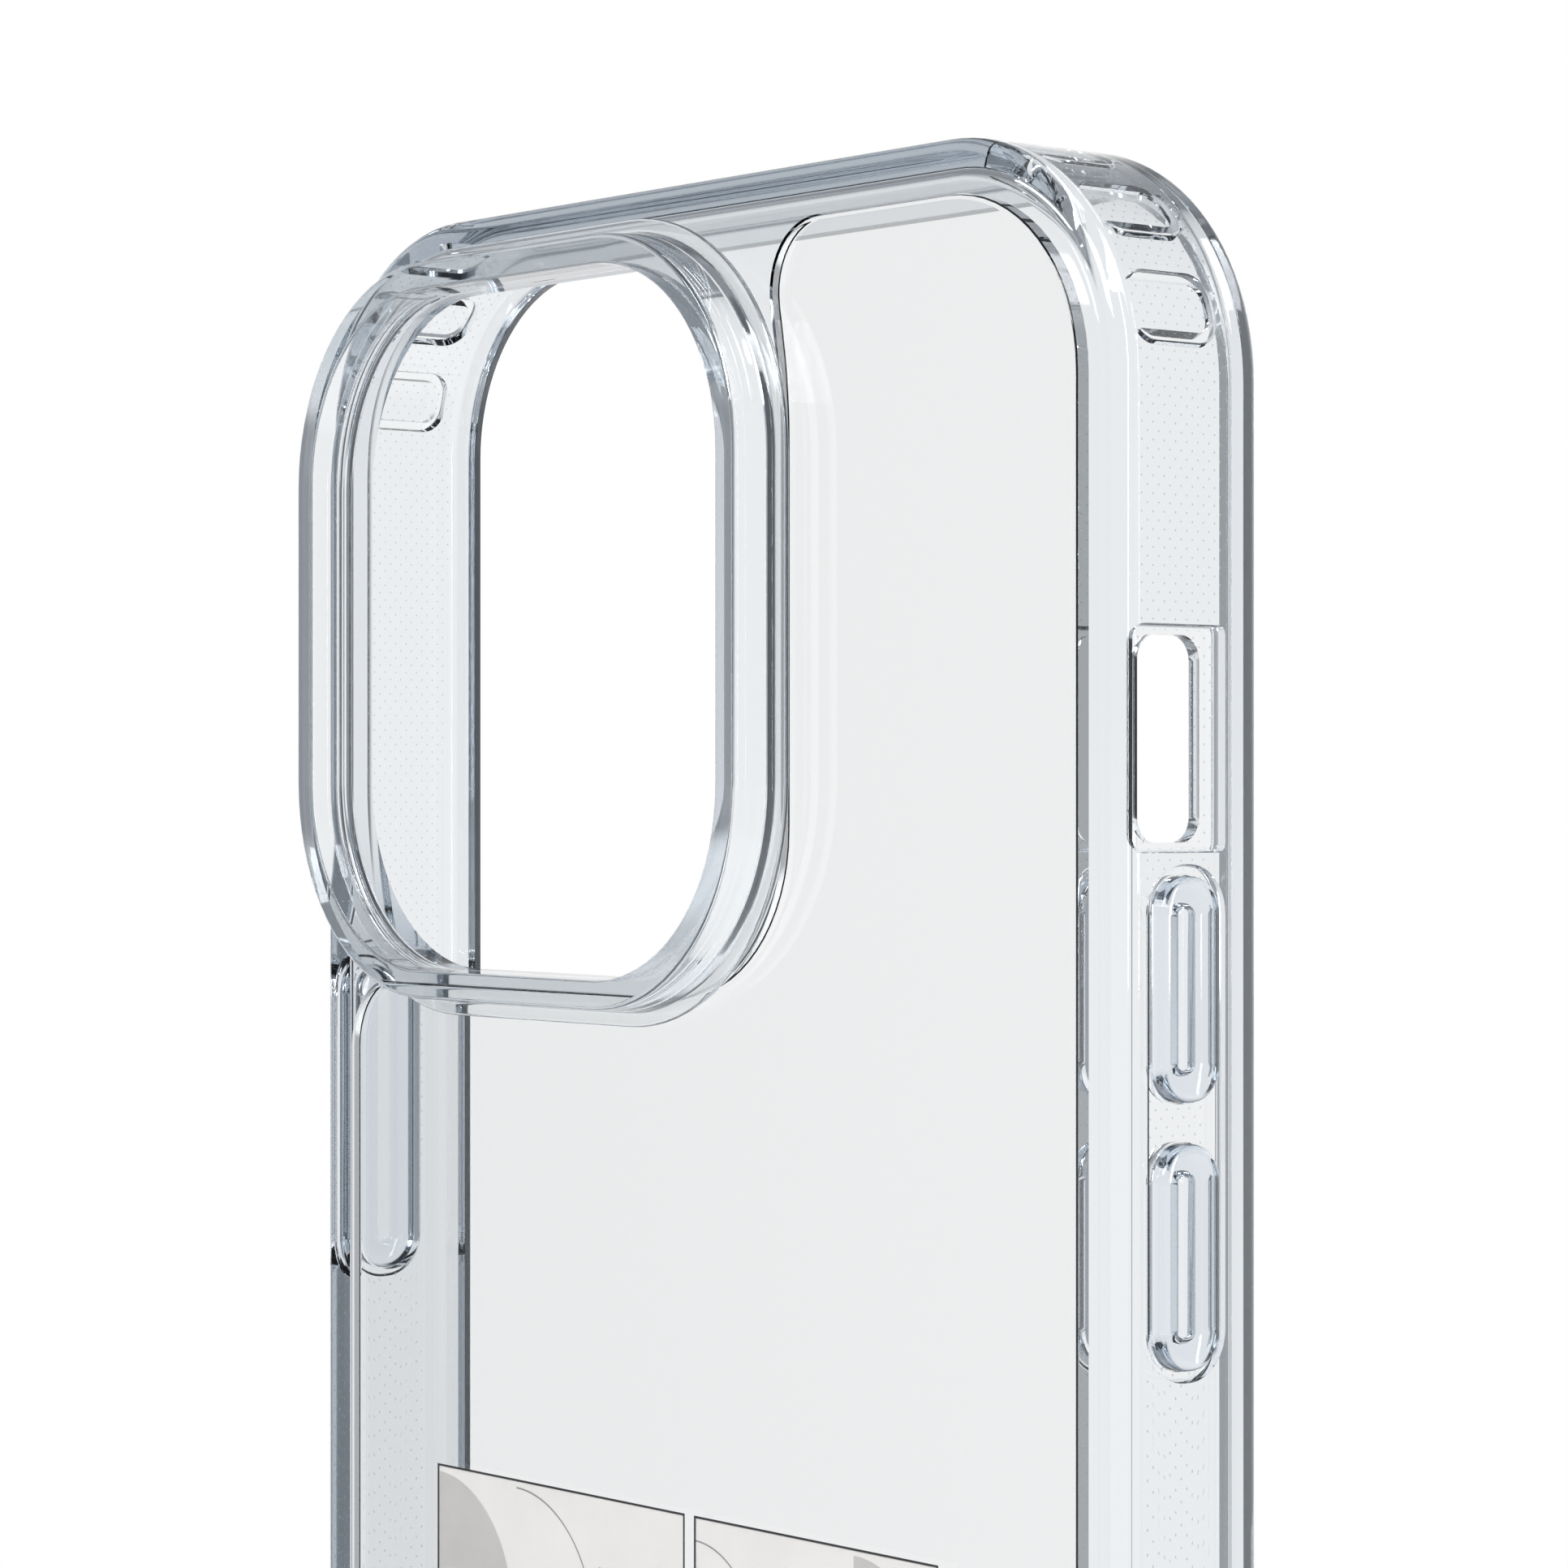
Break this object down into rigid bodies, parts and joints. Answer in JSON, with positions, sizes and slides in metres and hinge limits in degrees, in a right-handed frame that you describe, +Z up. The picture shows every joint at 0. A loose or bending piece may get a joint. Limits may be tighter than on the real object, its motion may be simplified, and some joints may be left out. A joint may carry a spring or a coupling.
{
  "type": "phone case",
  "caption": "Clear slip-on phone case: hard back plate in a soft bumper frame, raised camera guard, press-in button covers, mute-switch and port cut-outs, printed back panels.",
  "frame": {"origin": "middle of the bounding box at its base, with the case standing upright on its bottom edge", "axes": "+Z up the case's length to its top edge; +Y out of the open front, where the phone's screen faces; -Y out of the back; +X towards the wall with the mute-switch cut-out and the two volume covers"},
  "size_m": [0.076, 0.0142, 0.1509],
  "materials": {
    "hard_clear": "polished clear polycarbonate",
    "soft_clear": "glossy clear soft plastic (TPU), micro-dots on the inner side walls",
    "guard_clear": "glossy clear plastic",
    "button_clear": "glossy clear soft plastic (TPU)",
    "print_left": "ink printed on the plate's outer face",
    "print_right": "ink printed on the plate's outer face"
  },
  "bodies": {
    "case": {"back_plate": "hard_clear", "bumper_frame": "soft_clear", "camera_guard": "guard_clear", "print_panel_left": "print_left", "print_panel_right": "print_right"},
    "volume_up": {"volume_up_button": "button_clear"},
    "volume_down": {"volume_down_button": "button_clear"},
    "side": {"side_button": "button_clear"}
  },
  "joints": [
    {"name": "volume_up_press", "type": "slide", "parent": "case", "child": "volume_up", "axis": [-1, 0, 0], "range_m": [0, 0.0004], "stiffness_N_per_m": 1500},
    {"name": "volume_down_press", "type": "slide", "parent": "case", "child": "volume_down", "axis": [-1, 0, 0], "range_m": [0, 0.0004], "stiffness_N_per_m": 1500},
    {"name": "side_press", "type": "slide", "parent": "case", "child": "side", "axis": [1, 0, 0], "range_m": [0, 0.0004], "stiffness_N_per_m": 1500}
  ]
}
